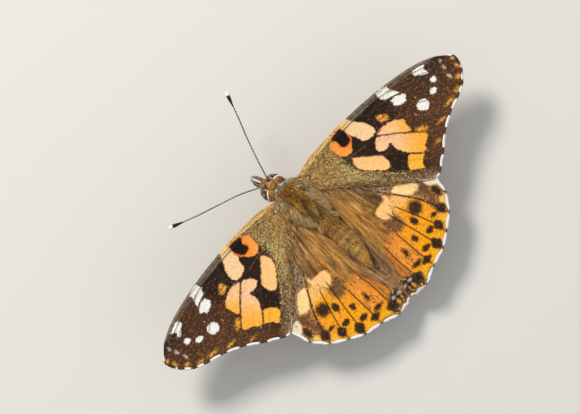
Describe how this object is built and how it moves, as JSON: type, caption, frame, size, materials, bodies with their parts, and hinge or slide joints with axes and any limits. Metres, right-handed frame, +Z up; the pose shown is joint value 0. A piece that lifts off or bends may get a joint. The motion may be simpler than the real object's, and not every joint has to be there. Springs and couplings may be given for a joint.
{
  "type": "painted lady butterfly",
  "caption": "Life-size painted lady butterfly model, wings spread flat, orange with black and white marks, standing on slim legs for display.",
  "frame": {"origin": "on the floor under the centre of the whole butterfly's box", "axes": "+X to the butterfly's left, along the wing span; +Y to its tail; +Z up"},
  "size_m": [0.067, 0.0436, 0.0129],
  "materials": {
    "forewing": "scaly, orange with dark brown tip and white spots",
    "hindwing": "scaly and hairy at the root, orange with black spots",
    "trunk": "short olive brown fur",
    "eye": "glossy brown with darker bands",
    "antenna": "dark with fine pale rings and a white tip",
    "leg": "pale brown scales",
    "tongue": "smooth dark brown"
  },
  "bodies": {
    "root": {"head": "trunk", "eye_left": "eye", "eye_right": "eye", "palp_left": "trunk", "palp_right": "trunk", "proboscis": "tongue", "antenna_left": "antenna", "antenna_right": "antenna", "thorax": "trunk", "abdomen": "trunk", "forewing_left": "forewing", "forewing_right": "forewing", "hindwing_left": "hindwing", "hindwing_right": "hindwing", "foreleg_left": "leg", "foreleg_right": "leg", "midleg_left": "leg", "midleg_right": "leg", "hindleg_left": "leg", "hindleg_right": "leg"}
  },
  "joints": []
}
